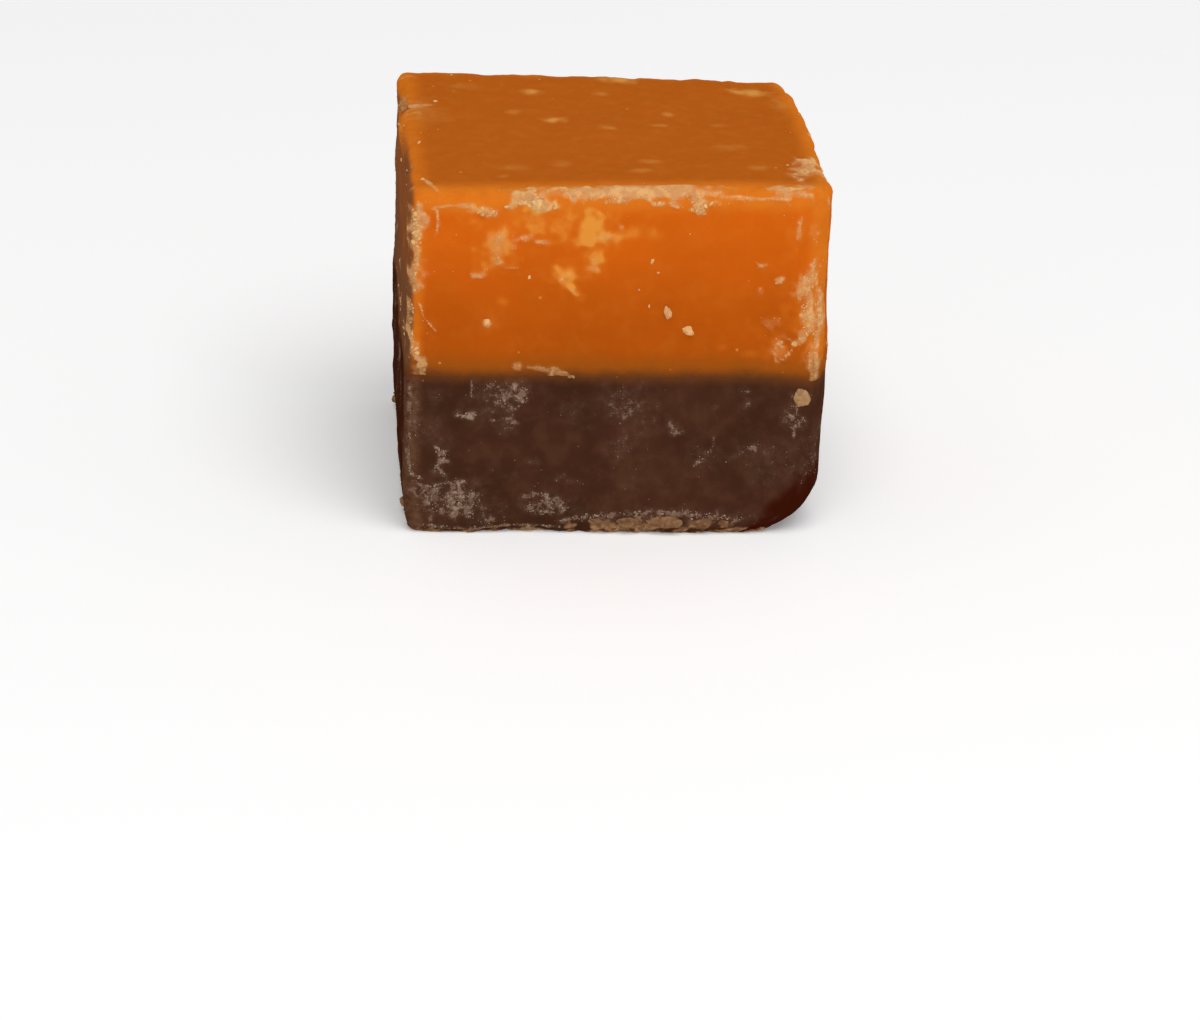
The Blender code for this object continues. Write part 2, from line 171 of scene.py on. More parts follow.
# Trails of crumbs on the front: points in millimetres, half width, crumbs per millimetre, their size, tone.
ORANGE_TRAILS = (
    (((-12.3, 23.3), (-11.2, 23.5), (-9.9, 23.5), (-9.4, 23.1), (-8.9, 22.9), (-8.2, 23.1)),
     0.05, 3, 0.1, 0.3), (((-9.5, 23.2), (-8.9, 22.8), (-8.2, 23.1)), 0.14, 6, 0.16, 0.3),
    (((-7.7, 23.4), (-7.1, 23.5), (-6.7, 23.7)), 0.12, 8, 0.15, 0.4),
    (((-6.6, 23.6), (-5.9, 23.7), (-5.2, 23.55)), 0.18, 8, 0.4, 0.1),
    (((-6.4, 24.1), (-5.2, 24.1)), 0.12, 8, 0.18, 0.7),
    (((-4.45, 23.8), (-4.5, 23.4), (-4.2, 23.3)), 0.03, 9, 0.13, 0),
    (((-3.8, 24.1), (-1, 24.15), (2, 24.1), (5.9, 24)), 0.16, 5, 0.12, 0.75),
    (((-1.2, 23.7), (0.3, 23.75)), 0.12, 9, 0.16, 0.8), (((2, 23.55), (2.7, 23.55)), 0.12, 7, 0.19, 0.2),
    (((3, 23.5), (3.5, 23.4)), 0.11, 7, 0.18, 0.2),
    (((4.3, 23.7), (5, 23.2), (5.3, 23.4), (5.9, 23.6)), 0.18, 8, 0.19, 0.2),
    (((4.3, 23.1), (4.9, 22.9), (5.2, 22.9)), 0.07, 10, 0.16, 0.1),
    (((6.3, 23.9), (8.2, 23.85), (10.8, 23.8)), 0.03, 2, 0.07, 0.6),
    (((10, 24.2), (11.2, 24.15), (12.6, 23.9)), 0.12, 2, 0.09, 0.8),
    (((-12.1, 23.2), (-12, 22.3), (-12.2, 21.3)), 0.03, 4, 0.09, 0.6),
    (((-13.8, 23.2), (-13.5, 21.4), (-13.4, 20.1), (-13.5, 18.6), (-13.6, 17.3)), 0.25, 6, 0.15, 0.4),
    (((-13.6, 22.9), (-13.5, 20.6)), 0.3, 7, 0.28, 0.2),
    (((-13.2, 16.4), (-12.9, 15.4), (-12.1, 14.5)), 0.04, 6, 0.12, 0.3),
    (((-13.9, 16.6), (-13.9, 14.8), (-13.6, 13.2)), 0.14, 6, 0.13, 0.6),
    (((-13.4, 13), (-13, 12.2), (-12.9, 11.5)), 0.25, 11, 0.26, 0.35),
    (((12.9, 18.9), (12.5, 17.6), (12.7, 16.4), (13, 15)), 0.6, 20, 0.11, 0.5),
    (((13.6, 17.4), (13.7, 15.4), (13.6, 13.4), (13.5, 11.4)), 0.3, 14, 0.12, 0.5),
    (((13, 14.9), (12.2, 14.2), (11.6, 13.9)), 0.2, 12, 0.12, 0.4),
    (((11.4, 14.2), (10.5, 13.9), (10.2, 13.2), (10.4, 12.5), (10.9, 12.7), (11.4, 13.5)),
     0.03, 2, 0.08, 0.7), (((13.1, 13.2), (13.1, 12.3), (13.2, 11.5)), 0.22, 7, 0.12, 0.6),
    (((-6.9, 11.9), (-6.5, 12.1)), 0.1, 6, 0.12, 0.8),
    (((-6, 12), (-5.2, 12), (-4.6, 11.7)), 0.04, 5, 0.1, 0.9),
    (((-4.7, 11.8), (-4, 11.8), (-3.2, 11.4), (-2.9, 11.2)), 0.12, 9, 0.17, 0.9),
    (((8.8, 19.5), (9, 19.2), (9.5, 19.3)), 0.03, 5, 0.09, 0.5),
    (((10.2, 18), (10.6, 18.4)), 0.12, 8, 0.1, 0.5),
    (((11.7, 22.5), (11.5, 21.7), (11.4, 21.1)), 0.04, 3, 0.08, 0.6),
)
CHOCOLATE_TRAILS = (
    (((-13.2, 3.9), (-12.6, 3.5), (-11.6, 3.7), (-9.9, 3.9)), 0.1, 7, 0.1, 0.4),
    (((5.1, 5), (5.9, 5.6), (6.4, 6.3), (6.5, 7.1)), 0.06, 3, 0.08, 0.5),
    (((-6.8, 10.9), (-6, 10.4), (-6, 9.6), (-6.8, 9)), 0.08, 7, 0.08, 0.4),
    (((-9.6, 11), (-9.6, 9.8)), 0.04, 5, 0.07, 0.5), (((-10.3, 8.5), (-9.4, 8.7)), 0.15, 14, 0.11, 0),
    (((-11.8, 6.3), (-11.5, 5.6)), 0.2, 14, 0.12, 0), (((-11.9, 5), (-11.2, 4.4)), 0.15, 8, 0.09, 0.4),
    (((-13.6, 10.4), (-13.6, 6.8), (-13.7, 5.2)), 0.08, 2, 0.09, 0.5),
    (((-13.6, 5.2), (-13.4, 4.4), (-12.8, 4.1)), 0.12, 14, 0.15, 0.1),
    (((-8.2, 8.2), (-7.4, 8.4), (-6.6, 8.1)), 0.12, 6, 0.08, 0.4),
    (((-5.9, 2.6), (-5.2, 3), (-4.3, 2.8), (-3.2, 2.1), (-3.6, 1.5), (-5, 1.5), (-5.8, 2)),
     0.2, 7, 0.08, 0.4),
    (((-12.4, 3), (-11.6, 1.6), (-10.6, 2.5), (-9.6, 1.4), (-9.3, 2.8)), 0.4, 7, 0.08, 0.4),
    (((12, 9.4), (12.2, 8.4), (11.9, 7.4)), 0.35, 6, 0.07, 0.7),
    (((-3.6, 0.9), (0, 1.5), (4, 1.7), (7, 1.4), (9.4, 1)), 0.22, 6, 0.12, 0.3),
    (((-13, 0.6), (-9.6, 0.4), (-6.4, 0.5), (-3.6, 0.4)), 0.1, 5, 0.12, 0.3),
)
# Single crumbs on the front: place along X and Z, half sizes along X, Z and out, turn in degrees, tone.
FRONT_CRUMBS = (
    (3.1, 15.9, 0.3, 0.46, 0.2, 12, 0.8), (4.5, 14.6, 0.52, 0.3, 0.2, -15, 0.65),
    (2, 19.5, 0.13, 0.22, 0.08, 0, 0.6), (2.4, 18.7, 0.08, 0.08, 0.05, 0, 0.7),
    (1.2, 17.5, 0.07, 0.09, 0.05, 0, 0.9), (1.9, 16.3, 0.1, 0.13, 0.06, 0, 0.9),
    (-6, 18.4, 0.1, 0.16, 0.08, 0, 0.2), (-8.7, 15.1, 0.22, 0.26, 0.08, 30, 0.5),
    (-4.4, 23.5, 0.11, 0.32, 0.14, 20, 0), (-3.8, 11.6, 0.5, 0.2, 0.12, -15, 0.9),
    (-13, 12.2, 0.34, 0.55, 0.13, 5, 0.5),
)
# The brown crumb on the top's left edge, in the same terms but along X and Y.
TOP_CRUMBS = (
    (-14, 4.7, 0.38, 0.75, 0.42, 0, 0.9), (-14, 6.3, 0.28, 0.4, 0.3, 0, 0.8),
    (-13.2, 4.5, 0.5, 0.3, 0.12, 20, 0.3),
)
# Lumps on the chocolate's front, in the terms of the front crumbs: a tan crumb at the right and the lip.
CHOCOLATE_LUMPS = (
    (12.5, 10.1, 0.55, 0.62, 0.18, 10, 0), (12.2, 10.5, 0.35, 0.25, 0.16, 40, 0.1),
    (-1.2, 1, 0.5, 0.24, 0.09, 5, 0.95), (1.1, 0.95, 0.72, 0.4, 0.1, 0, 0.9),
    (3.9, 0.98, 1.15, 0.42, 0.12, 0, 0.9), (6.9, 1, 0.62, 0.24, 0.09, 0, 1),
    (8.4, 0.85, 0.4, 0.17, 0.08, 0, 1),
)
SIDE_MARKS = 26
CRUMBS_AT_ONCE = 60
CRUMB_BREAKS = 9
BREAK_DEPTHS = (0.45, 0.85)
SOFT_BREAK_DEPTHS = (0.72, 1.1)
CRUMB_TILT = 0.35
TRAIL_SPREAD = 0.6
FULL_TURN = 6.3
CRUMB_SINK = 0.3
FLOOR_CLEAR = 0.00001


def a_length(name, description, default):
    return FloatProperty(name=name, description=description, default=default, unit="LENGTH")


def a_count(name, description, default):
    return IntProperty(name=name, description=description, default=default)


def a_colour(name, description, default):
    return FloatVectorProperty(name=name, description=description, default=default, subtype="COLOR")


class FudgeSizes(bpy.types.PropertyGroup):
    """Sizes of the cube of fudge and of what clings to it."""

    width: a_length("Width", "Straight block along X, before waviness", 0.028)
    depth: a_length("Depth", "Straight block along Y, before waviness", 0.0245)
    height: a_length("Height", "Whole block along Z", 0.0243)
    seam_height: a_length("Seam height", "Where orange meets chocolate", 0.0113)
    edge_round: a_length("Edge round", "Radius of the block's edges", 0.0009)
    spacing: a_length("Surface spacing", "Widest gap between points of the skin", 0.00021)
    base_lumps: a_count("Base lumps", "Lumps in the crusty lip at the base", 190)
    loose_grains: a_count("Sugar grains", "Tiny grains on the rims and the bloom", 1500)
    seed: a_count("Seed", "Start of every random draw", 21)


class FudgeColours(bpy.types.PropertyGroup):
    """Colours of the two layers and of what clings to them."""

    orange: a_colour("Orange", "Freshly cut orange layer", (0.58, 0.108, 0.005))
    # Painted shade and sheen: the top's orange is darker and greyer than the front's, standing in for the
    # lesser light on the top and its grazing reflection.
    shaded_top_orange: a_colour("Orange skin", "Duller skin on the top", (0.475, 0.105, 0.0085))
    pale: a_colour("Pale blotch", "Sugary paste in the orange", (0.82, 0.31, 0.045))
    pale_edge: a_colour("Blotch edge", "Thin edges of the paste", (0.74, 0.195, 0.016))
    crust: a_colour("Crust", "Dry crust on the rims", (0.68, 0.345, 0.14))
    crumb: a_colour("Crumb", "Pale crumbs and flakes", (0.84, 0.49, 0.2))
    crumb_dull: a_colour("Dull crumb", "Pinkish old crumbs", (0.62, 0.3, 0.13))
    # Partly the crumb's own brown and partly painted shade: the crumb is coloured as dark as its shaded
    # side.
    crumb_brown_and_shade: a_colour("Brown crumb", "Old crumb on the top's left edge", (0.27, 0.12, 0.032))
    top_pale: a_colour("Top blotch", "Creamier paste in the top", (0.68, 0.28, 0.058))
    # Painted highlight: this brighter amber along the orange's rims and edges stands in for the light that
    # the rounded edges catch and let through.
    amber: a_colour("Amber", "Translucent rims of the orange", (0.73, 0.19, 0.014))
    # Painted shade: the whole left side is coloured dark brown, as a side turned away from the light.
    left_side_shade: a_colour("Left skin", "Browner skin on the left side", (0.23, 0.075, 0.025))
    low_amber: a_colour("Low amber", "Olive amber just above the seam", (0.36, 0.088, 0.007))
    pit: a_colour("Pit", "Darker pits in the crust", (0.5, 0.17, 0.045))
    seam: a_colour("Seam", "Where the two layers blend", (0.14, 0.043, 0.012))
    chocolate: a_colour("Chocolate", "Chocolate layer", (0.0605, 0.0218, 0.0112))
    bloom: a_colour("Bloom", "Sugar bloom on the chocolate", (0.25, 0.155, 0.108))
    dust: a_colour("Dusty rim", "Greyer rims of the chocolate", (0.135, 0.06, 0.031))
    grain: a_colour("Grain", "Sugar grains on the chocolate", (0.37, 0.26, 0.185))
    lip: a_colour("Base lip", "Crusty lip at the base", (0.175, 0.085, 0.042))
    tan: a_colour("Tan crumb", "Lightest crumbs of the lip", (0.4, 0.225, 0.105))
    # Painted shade: laid nearly fully under the heel, and at a lower share on the chocolate's left side.
    heel: a_colour("Heel", "Dark shade under the heel", (0.044, 0.006, 0.002))


def ease(share):
    share = np.clip(share, 0.0, 1.0)
    return share * share * (3 - 2 * share)


def wave(points, relief):
    """One layer of noise, as heights."""
    height, length, layer = relief
    places = (points / length + np.array((layer, *NOISE_SHIFT))).tolist()
    return height * np.array([noise.noise(place) for place in places])


def block_shares(points, sizes):
    x, y, z = points.T
    return 2 * x / sizes.width, 2 * y / sizes.depth, 2 * z / sizes.height - 1


def outward(shares):
    """The way out of the block, which fades to nothing inside it."""
    way = np.stack([np.sign(side) * np.abs(side) ** FACE_POWER for side in shares], axis=1)
    return way / np.maximum(1.0, np.linalg.norm(way, axis=1))[:, None]


def nearness_to_rim(shares):
    u, v, w = shares
    return np.maximum(np.maximum(np.abs(u * v), np.abs(v * w)), np.abs(u * w)) ** RIM_POWER


def hand_cut(points, sizes, lift=0.0):
    """Moves points of the true block to where the hand-cut one has them, with lift added outwards."""
    shares = u, v, w = block_shares(points, sizes)
    rim = nearness_to_rim(shares)
    relief = wave(points, SLOW_WAVE) + wave(points, KNIFE_WAVE) + rim * wave(points, RIM_CRUMBLE) + lift
    moved = points + relief[:, None] * outward(shares)
    x, y, z = points.T
    moved[:, 2] = np.where(z <= 0, 0.0, np.maximum(moved[:, 2], 0.0))
    moved[:, 1] -= BACK_SKEW * u * np.maximum(v, 0)
    from_back = np.maximum(1 - (sizes.depth / 2 - y) / BACK_RIGHT_REACH, 0)
    near_right = ease(1 - (sizes.width / 2 - x) / BACK_RIGHT_WIDTH)
    moved[:, 0] -= RIGHT_TAPER * (1 + v) / 2 * np.maximum(u, 0)
    moved[:, 0] -= BACK_RIGHT_PULL * from_back**BACK_RIGHT_POWER * near_right
    moved[:, 2] -= FRONT_LEFT_SINK * ease((1 - u) / 2) * ease((1 - v) / 2) * ease(w)
    rise = np.clip(1 - z / HEEL_HEIGHT, 0, 1)
    inset = HEEL_REACH * (1 - (1 - rise**HEEL_POWER) ** (1 / HEEL_POWER))
    heel_share = HEEL_LEFT_AT_BACK + (1 - HEEL_LEFT_AT_BACK) * (1 - v) / 2
    moved[:, 0] -= inset * heel_share * np.maximum(u, 0)
    toe = ease(1 - z / TOE_HEIGHT) * TOE_REACH
    moved[:, 0] += toe * np.maximum(-u, 0)
    moved[:, 1] += toe * np.maximum(-v, 0) - 0.5 * toe * np.maximum(v, 0)
    from_right = np.maximum(1 - (sizes.width / 2 - x) / SOFT_CORNER_RADIUS, 0)
    from_front = np.maximum(1 - (sizes.depth / 2 + y) / SOFT_CORNER_RADIUS, 0)
    pull = SOFT_CORNER_PULL * from_right * from_front
    moved[:, 0] -= pull
    moved[:, 1] += pull
    at_seam = np.exp(-(((z - sizes.seam_height) / SEAM_SPREAD) ** 2))
    drop = ease((x - SEAM_DROP_START) / (sizes.width / 2 - SEAM_DROP_START))
    moved[:, 2] -= at_seam * SEAM_DROP * drop
    return moved


def cut_across(form, middle, normal, drop_above=False):
    whole = form.verts[:] + form.edges[:] + form.faces[:]
    plane = {"plane_co": middle, "plane_no": normal, "clear_outer": drop_above}
    bmesh.ops.bisect_plane(form, geom=whole, dist=SNAP, **plane)


def straight_slice(sizes, low, high):
    """The slice of the straight block from low to high, as an even grid that is open at the seam."""
    form = bmesh.new()
    bmesh.ops.create_cube(form, size=1.0)
    bmesh.ops.scale(form, vec=(sizes.width, sizes.depth, sizes.height), verts=form.verts)
    bmesh.ops.translate(form, vec=(0, 0, sizes.height / 2), verts=form.verts)
    rounded = {"offset": sizes.edge_round, "segments": BEVEL_SEGMENTS, "profile": 0.5}
    bmesh.ops.bevel(form, geom=form.edges[:], affect="EDGES", material=-1, **rounded)
    for height, way in ((low, -1.0), (high, 1.0)):
        if 0 < height < sizes.height:
            cut_across(form, Vector((0, 0, height)), Vector((0, 0, way)), drop_above=True)
    runs = ((0, sizes.width, -sizes.width / 2), (1, sizes.depth, -sizes.depth / 2), (2, sizes.height, 0.0))
    for axis, length, start in runs:
        count = round(length / COARSE_CUT)
        for step in range(1, count):
            middle, normal = Vector(), Vector()
            middle[axis] = start + length * step / count
            normal[axis] = 1.0
            cut_across(form, middle, normal)
    while True:
        long_edges = [edge for edge in form.edges if edge.calc_length() > sizes.spacing]
        if not long_edges:
            return form
        bmesh.ops.subdivide_edges(form, edges=long_edges, cuts=1, use_grid_fill=True)


def points_of(form):
    return np.array([corner.co[:] for corner in form.verts])


def round_off(points, sizes):
    """Brings the points of the bevelled edges onto one even round."""
    radius = sizes.edge_round
    middle = np.array((0, 0, sizes.height / 2))
    reach = np.array((sizes.width, sizes.depth, sizes.height)) / 2 - radius
    inner = np.clip(points - middle, -reach, reach)
    out = points - middle - inner
    length = np.linalg.norm(out, axis=1)
    on_round = (np.abs(out) > SNAP).sum(axis=1) > 1
    scale = np.where(on_round, radius / np.maximum(length, SNAP), 1.0)
    return middle + inner + out * scale[:, None]


def highest(*covers):
    return np.maximum.reduce(covers)


def patches(across, up, marks, ragged):
    """How much of each point the marks cover, with ragged soft edges."""
    found = np.zeros(len(across))
    for place_across, place_up, half_width, half_height, strength, *turn in marks:
        angle = math.radians(turn[0] if turn else 0)
        cosine, sine = math.cos(angle), math.sin(angle)
        over, above = across / MM - place_across, up / MM - place_up
        along = (over * cosine + above * sine) / half_width
        upright = (above * cosine - over * sine) / half_height
        cover = ease((1.5 - np.hypot(along, upright) + ragged) / 1.4) * strength
        found = np.maximum(found, cover)
    return found


def trail_cover(across, up, trails, ragged):
    """How much of each point the trails of crumbs cover."""
    found = np.zeros(len(across))
    places = np.stack([across, up], axis=1) / MM
    for points, half_width, _, _, _ in trails:
        for start, end in zip(points[:-1], points[1:]):
            start, end = np.array(start), np.array(end)
            run = end - start
            share = np.clip((places - start) @ run / (run @ run), 0, 1)
            away = np.linalg.norm(places - start - share[:, None] * run, axis=1)
            found = np.maximum(found, ease(1.25 - away / (half_width + 0.12) + 0.8 * ragged))
    return found


def random_marks(draw, count, half_across, low, high, size, strength):
    """Marks for a face that the photo doesn't show, in millimetres."""
    made = []
    for _ in range(count):
        across = draw.uniform(-half_across, half_across)
        up = draw.uniform(low, high)
        half_width, half_height = draw.uniform(0.25, 1.0, 2) * size
        turn, share = draw.uniform(0, 180), draw.uniform(0.3, 1.0)
        made.append((across, up, half_width, half_height, share * strength, turn))
    return made


def face_weights(shares):
    """How far a point belongs to the front, back, left, right and top."""
    u, v, w = shares
    return [ease((side - 0.86) / 0.08) for side in (-v, v, -u, u, w)]


def masks_of(points, sizes):
    """What is painted on each point: paste, crust, amber rims as a painted highlight, bloom, the lip, and
    painted shade on the left side and under the heel.
    """
    draw = np.random.default_rng(sizes.seed)
    shares = u, v, w = block_shares(points, sizes)
    front, back, left, right, top = face_weights(shares)
    x, y, z = points.T
    ragged = sum(wave(points, relief) for relief in RAGGED_WAVES)
    rough = wave(points, ROUGH_WAVE)
    rim = nearness_to_rim(shares)
    on_orange = z > sizes.seam_height
    half_x, half_y = sizes.width / 2 / MM, sizes.depth / 2 / MM
    seam, height = sizes.seam_height / MM, sizes.height / MM
    near_front = highest(front, ease((-v - 0.87) / 0.11))
    pale = highest(
        patches(x, z, FRONT_PALE, ragged) * front,
        patches(x, y, TOP_PALE, 0.7 * ragged) * top,
    )
    crust = highest(
        patches(x, z, FRONT_CRUST, ragged * (1.3 - 0.7 * ease((w - 0.93) / 0.04))) * front,
        patches(x, y, TOP_CRUST, ragged * 0.8) * top,
        0.68 * trail_cover(x, z, ORANGE_TRAILS, ragged) * near_front,
    )
    bloom = highest(
        patches(x, z, FRONT_BLOOM, ragged) * front,
        0.8 * trail_cover(x, z, CHOCOLATE_TRAILS, ragged) * front,
    )
    for across, weight, half in ((x, back, half_x), (y, left, half_y), (y, right, half_y)):
        high_pale = random_marks(draw, SIDE_MARKS // 2, half, height - 6, height - 0.5, 1.6, 0.9)
        low_pale = random_marks(draw, SIDE_MARKS // 2, half, seam + 1, height - 3, 0.7, 0.6)
        pale = highest(pale, patches(across, z, high_pale + low_pale, ragged) * weight)
        dry = random_marks(draw, SIDE_MARKS, half, seam, height, 0.7, 0.7)
        crust = highest(crust, patches(across, z, dry, ragged * 1.3) * weight)
        frost = random_marks(draw, SIDE_MARKS, half, 0.5, seam - 0.5, 1.5, 0.8)
        bloom = highest(bloom, patches(across, z, frost, ragged) * weight)
    hidden = 1 - front
    rim_crust = ease((rim - 0.42) / 0.2 + rough * 0.9 - 0.35) * ease(0.75 + 1.2 * ragged)
    crust = highest(crust, rim_crust * 0.6 * hidden) * on_orange
    # Painted shade on the left side, fading out near the top towards the back.
    left_side_shade = ease((-u - 0.962 + 0.006 * rough) / 0.024)
    left_side_shade *= 1 - ease((v + 0.4) / 0.6) * ease((z / MM - 22.8) / 0.9 + 0.4 * rough)
    pale *= 1 - 0.85 * left_side_shade
    # Painted highlight: amber on the orange's rims, its front left and right edges and the top's front and
    # side edges, where rounded edges catch the light and glow through. On the chocolate the same mask
    # carries the greyer rims instead.
    left_band = front * ease((-u - 0.90 + 0.02 * rough) / 0.06)
    amber = highest(
        0.85 * left_band,
        0.8 * ease((rim - 0.2) / 0.4),
        front * 0.8 * ease((u - 0.87) / 0.07),
        front * ease((w - 0.915) / 0.03),
        top * ease((-v - 0.76) / 0.18),
        top * 0.8 * ease((np.abs(u) - 0.87) / 0.11),
    )
    dust = highest(left_band, 0.7 * hidden * ease((rim - 0.3) / 0.4))
    lip = highest(
        ease((0.5 + 0.5 * ragged - z / MM) / 0.4),
        patches(x, z, FRONT_LIP, 0.8 * ragged) * near_front,
    )
    # Painted shade under the heel: a dark crescent at the lower right of the front, fading towards the back.
    heel_start = 0.715 + 0.065 * np.maximum(z / MM - 2.2, 0)
    heel = ease((u - heel_start + 0.015 * rough) / 0.08) * ease((5.4 - z / MM + 0.6 * rough) / 1.4)
    heel *= 0.2 + 0.8 * ease((0.3 - v + 0.3 * rough) / 1.0)
    return {
        "pale": pale,
        "crust": crust,
        "amber": np.where(on_orange, amber, dust),
        "left": left_side_shade,
        "bloom": bloom * ~on_orange,
        "rim": rim,
        "lip": lip,
        "heel": heel,
    }


def dressed_points(points, sizes, masks):
    """The straight points moved to the cut form, with the fine relief of skin, rims and crust."""
    shares = block_shares(points, sizes)
    rim = masks["rim"]
    lift = wave(points, SKIN_WAVE) + wave(points, SKIN_GRAIN) + rim * wave(points, RIM_CHIPS)
    lift -= rim * np.maximum(wave(points, RIM_BITES) - SHALLOWEST_BITE, 0)
    grit = 0.6 + 1.2 * np.abs(wave(points, GRIT))
    lift += masks["crust"] * CRUST_LIFT * grit
    lift += masks["pale"] * PALE_LIFT
    lift += masks["bloom"] * BLOOM_LIFT * grit
    lift += masks["lip"] * LIP_LIFT * (0.5 + 0.5 * grit)
    moved = hand_cut(points, sizes, lift)
    u, v, _ = shares
    moved[:, 0] -= LEFT_FLARE * np.maximum(-u, 0) ** 2 * (1 + v) / 2
    return moved


def write_mask(mesh, name, values):
    made = mesh.attributes.new(name, "FLOAT", "POINT")
    made.data.foreach_set("value", np.asarray(values, np.float32))


def read_mask(mesh, name):
    values = np.zeros(len(mesh.vertices), np.float32)
    mesh.attributes[name].data.foreach_get("value", values)
    return values


def link_piece(mesh, name, material, node=None):
    """Puts a finished mesh in the scene as a piece that rides on the part."""
    piece = bpy.data.objects.new(name, mesh)
    bpy.context.scene.collection.objects.link(piece)
    mesh.materials.append(material)
    mesh.shade_smooth()
    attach(piece, BODY)
    if node:
        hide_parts(node)


def close_seam(form):
    """Closes the open side of a slice. Its middle is tucked in, so that the layers don't share a face."""
    rim = [edge for edge in form.edges if edge.is_boundary]
    for edge in rim:
        edge.smooth = False
    lid = bmesh.ops.edgeloop_fill(form, edges=rim)["faces"]
    bmesh.ops.recalc_face_normals(form, faces=form.faces[:])
    thickness, depth = SEAM_TUCK
    bmesh.ops.inset_region(form, faces=lid, thickness=thickness, depth=-depth)


def layer_mesh(name, sizes, low, high):
    form = straight_slice(sizes, low, high)
    straight = round_off(points_of(form), sizes)
    masks = masks_of(straight, sizes)
    moved = dressed_points(straight, sizes, masks) + TO_ORIGIN
    for corner, place in zip(form.verts, moved.tolist()):
        corner.co = place
    count = len(form.verts)
    close_seam(form)
    extra = len(form.verts) - count
    mesh = bpy.data.meshes.new(name)
    form.to_mesh(mesh)
    form.free()
    masks["above_seam"] = (straight[:, 2] - sizes.seam_height) / MM
    for mask, values in masks.items():
        write_mask(mesh, mask, np.concatenate([values, np.zeros(extra)]))
    for axis, place in zip("xyz", straight.T):
        write_mask(mesh, f"straight_{axis}", np.concatenate([place, np.zeros(extra)]))
    return mesh


class Shade:
    """A small helper that lays out the nodes of one material."""

    def __init__(self, name):
        self.material = bpy.data.materials.new(name)
        self.material.use_nodes = True
        self.tree = self.material.node_tree
        self.shader = self.tree.nodes["Principled BSDF"]
        self.place = self.add("ShaderNodeTexCoord").outputs["Object"]

    def add(self, kind, feeds=None, **settings):
        made = self.tree.nodes.new(kind)
        for key, value in settings.items():
            setattr(made, key, value)
        for key, value in (feeds or {}).items():
            self.feed(made.inputs[key], value)
        return made

    def feed(self, socket, value):
        if isinstance(value, bpy.types.NodeSocket):
            self.tree.links.new(value, socket)
        elif isinstance(value, (int, float)):
            socket.default_value = value
        else:
            socket.default_value = (*value, 1.0) if len(value) == 3 and socket.type == "RGBA" else value

    def noise(self, length, detail=3.0, roughness=0.55, stretch=None, distortion=0.0):
        place = self.place
        if stretch:
            place = self.add("ShaderNodeMapping", {"Vector": place, "Scale": stretch}).outputs[0]
        feeds = {"Vector": place, "Scale": 1 / length, "Detail": detail, "Roughness": roughness}
        return self.add("ShaderNodeTexNoise", {**feeds, "Distortion": distortion}).outputs[0]

    def cells(self, length):
        """Voronoi cells: the distance to each middle, and a random number for each cell."""
        made = self.add("ShaderNodeTexVoronoi", {"Vector": self.place, "Scale": 1 / length})
        parts = self.add("ShaderNodeSeparateColor", {0: made.outputs["Color"]})
        return made.outputs["Distance"], parts.outputs[0]

    def mask(self, name):
        return self.add("ShaderNodeAttribute", attribute_name=name).outputs["Fac"]

    def math(self, operation, first, second=0.0, clamp=False):
        feeds = {0: first, 1: second}
        return self.add("ShaderNodeMath", feeds, operation=operation, use_clamp=clamp).outputs[0]

    def times(self, first, second, clamp=False):
        return self.math("MULTIPLY", first, second, clamp)

    def plus(self, first, second, clamp=False):
        return self.math("ADD", first, second, clamp)

    def swayed(self, value, noise, reach):
        """The value moved up and down by a noise."""
        return self.plus(value, self.times(self.math("SUBTRACT", noise, 0.5), reach))

    def between(self, value, low, high, to_low=0.0, to_high=1.0):
        feeds = {"Value": value, "From Min": low, "From Max": high, "To Min": to_low, "To Max": to_high}
        return self.add("ShaderNodeMapRange", feeds, interpolation_type="SMOOTHSTEP").outputs[0]

    def grainy(self, mask, noise, reach, low, high, faint, sure):
        """A mask broken into grains by a noise. It is empty where faint and whole where sure."""
        grains = self.between(self.swayed(mask, noise, reach), low, high)
        return self.times(grains, self.between(mask, faint, sure))

    def specks(self, length, kept, radius):
        """Small round specks in a kept share of the cells."""
        distance, draw = self.cells(length)
        chosen = self.math("LESS_THAN", draw, kept)
        return self.times(chosen, self.between(distance, radius, radius * 0.6))

    def mix(self, share, first, second):
        # The sockets are numbered, because this node has several of each name.
        return self.add("ShaderNodeMix", {0: share, 6: first, 7: second}, data_type="RGBA").outputs[2]

    def paint(self, share, colour, amount=None):
        """Lays a colour over what is painted so far, as far as share says."""
        share = self.times(share, amount) if amount else share
        self.colour = self.mix(share, self.colour, colour)

    def bump(self, height, distance, strength, after=None):
        feeds = {"Strength": strength, "Distance": distance, "Height": height}
        if after:
            feeds["Normal"] = after
        return self.add("ShaderNodeBump", feeds).outputs[0]

    def finish(self, roughness, normal, **constants):
        for name, value in (("Base Color", self.colour), ("Roughness", roughness), ("Normal", normal)):
            self.feed(self.shader.inputs[name], value)
        for name, value in constants.items():
            self.shader.inputs[name.replace("_", " ")].default_value = value
        return self.material

    def finish_fudge(self, roughness, normal, weight, radius, scale):
        """Fudge lets light in and has no gloss of its own."""
        glow = {"Subsurface_Weight": weight, "Subsurface_Radius": radius, "Subsurface_Scale": scale}
        return self.finish(roughness, normal, Specular_IOR_Level=0.0, **glow)

    def finish_layer(self, noises, dry, smooth, swell, glow):
        """A satin skin with shallow swells, dull and gritty where it is dry."""
        cloud, fine, grain = noises
        rough = self.between(cloud, 0.3, 0.7, smooth, smooth + 0.1)
        rough = self.plus(rough, self.times(dry, 0.3), clamp=True)
        height = self.plus(fine, self.times(dry, self.times(grain, 2.0)))
        normal = self.bump(height, 0.00003, 0.5)
        length, distance = swell
        normal = self.bump(self.noise(length, detail=2.0), distance, 0.4, after=normal)
        return self.finish_fudge(rough, normal, *glow)


def scaled(colour, factor):
    return tuple(factor * part for part in colour)


